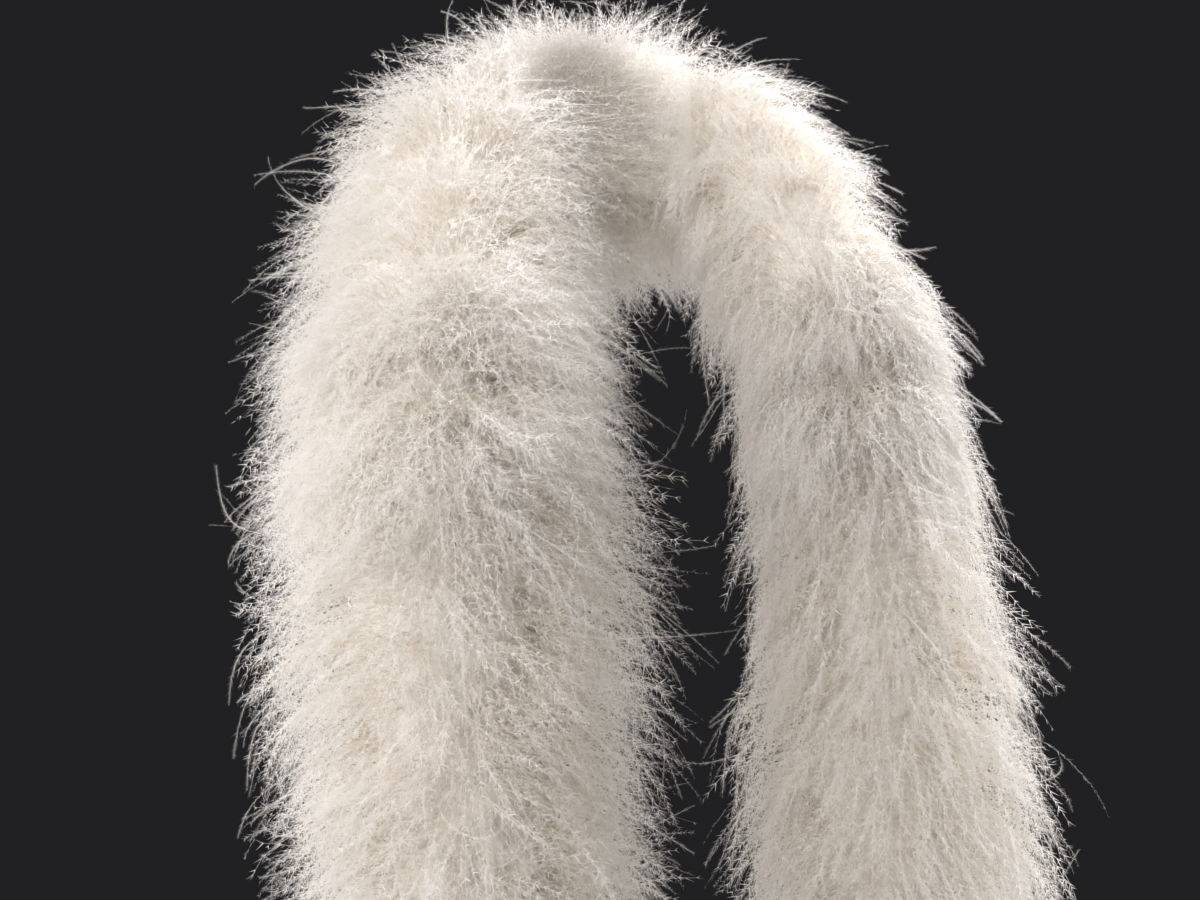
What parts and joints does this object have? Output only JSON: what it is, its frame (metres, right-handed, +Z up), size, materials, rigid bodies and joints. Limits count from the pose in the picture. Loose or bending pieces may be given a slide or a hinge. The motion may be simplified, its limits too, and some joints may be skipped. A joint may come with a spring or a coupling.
{
  "type": "feather boa",
  "caption": "Thick white ostrich feather boa draped round a neck, two tails hanging in front, plies of flues wound on a twisted core cord.",
  "frame": {"origin": "centre of the neck that the boa is draped round, level with the core cord at the nape", "axes": "+Z up, +X to the viewer's right seen from the front, tails hanging in front on the -Y side"},
  "size_m": [0.401, 0.3694, 0.9377],
  "materials": {
    "plumage": "soft matte",
    "quill": "satin",
    "core_cord": "matte",
    "binding_thread": "satin"
  },
  "bodies": {
    "collar": {"binding_thread_collar": "binding_thread", "core_cord_collar": "core_cord", "plumage_collar": "plumage", "quill_strip_collar_a": "quill", "quill_strip_collar_b": "quill", "quill_strip_collar_c": "quill", "quill_strip_collar_d": "quill"},
    "left_tail_lower": {"binding_thread_left_lower": "binding_thread", "core_cord_left_lower": "core_cord", "end_knot_left": "core_cord", "end_whipping_left": "binding_thread", "plumage_left_lower": "plumage", "quill_strip_left_lower_a": "quill", "quill_strip_left_lower_b": "quill", "quill_strip_left_lower_c": "quill", "quill_strip_left_lower_d": "quill"},
    "left_tail_upper": {"binding_thread_left_upper": "binding_thread", "core_cord_left_upper": "core_cord", "plumage_left_upper": "plumage", "quill_strip_left_upper_a": "quill", "quill_strip_left_upper_b": "quill", "quill_strip_left_upper_c": "quill", "quill_strip_left_upper_d": "quill"},
    "right_tail_lower": {"binding_thread_right_lower": "binding_thread", "core_cord_right_lower": "core_cord", "end_knot_right": "core_cord", "end_whipping_right": "binding_thread", "plumage_right_lower": "plumage", "quill_strip_right_lower_a": "quill", "quill_strip_right_lower_b": "quill", "quill_strip_right_lower_c": "quill", "quill_strip_right_lower_d": "quill"},
    "right_tail_upper": {"binding_thread_right_upper": "binding_thread", "core_cord_right_upper": "core_cord", "plumage_right_upper": "plumage", "quill_strip_right_upper_a": "quill", "quill_strip_right_upper_b": "quill", "quill_strip_right_upper_c": "quill", "quill_strip_right_upper_d": "quill"}
  },
  "joints": [
    {"name": "left_tail_swing", "type": "hinge", "parent": "collar", "child": "left_tail_upper", "pos_m": [-0.105, -0.104, -0.15], "axis": [-1, 0, 0], "range_deg": [-15, 70]},
    {"name": "left_tail_flare", "type": "hinge", "parent": "left_tail_upper", "child": "left_tail_lower", "pos_m": [-0.105, -0.108, -0.43], "axis": [0, 1, 0], "range_deg": [-3, 45]},
    {"name": "right_tail_swing", "type": "hinge", "parent": "collar", "child": "right_tail_upper", "pos_m": [0.106, -0.104, -0.15], "axis": [-1, 0, 0], "range_deg": [-15, 70]},
    {"name": "right_tail_flare", "type": "hinge", "parent": "right_tail_upper", "child": "right_tail_lower", "pos_m": [0.111, -0.108, -0.44], "axis": [0, -1, 0], "range_deg": [-3, 45]}
  ]
}
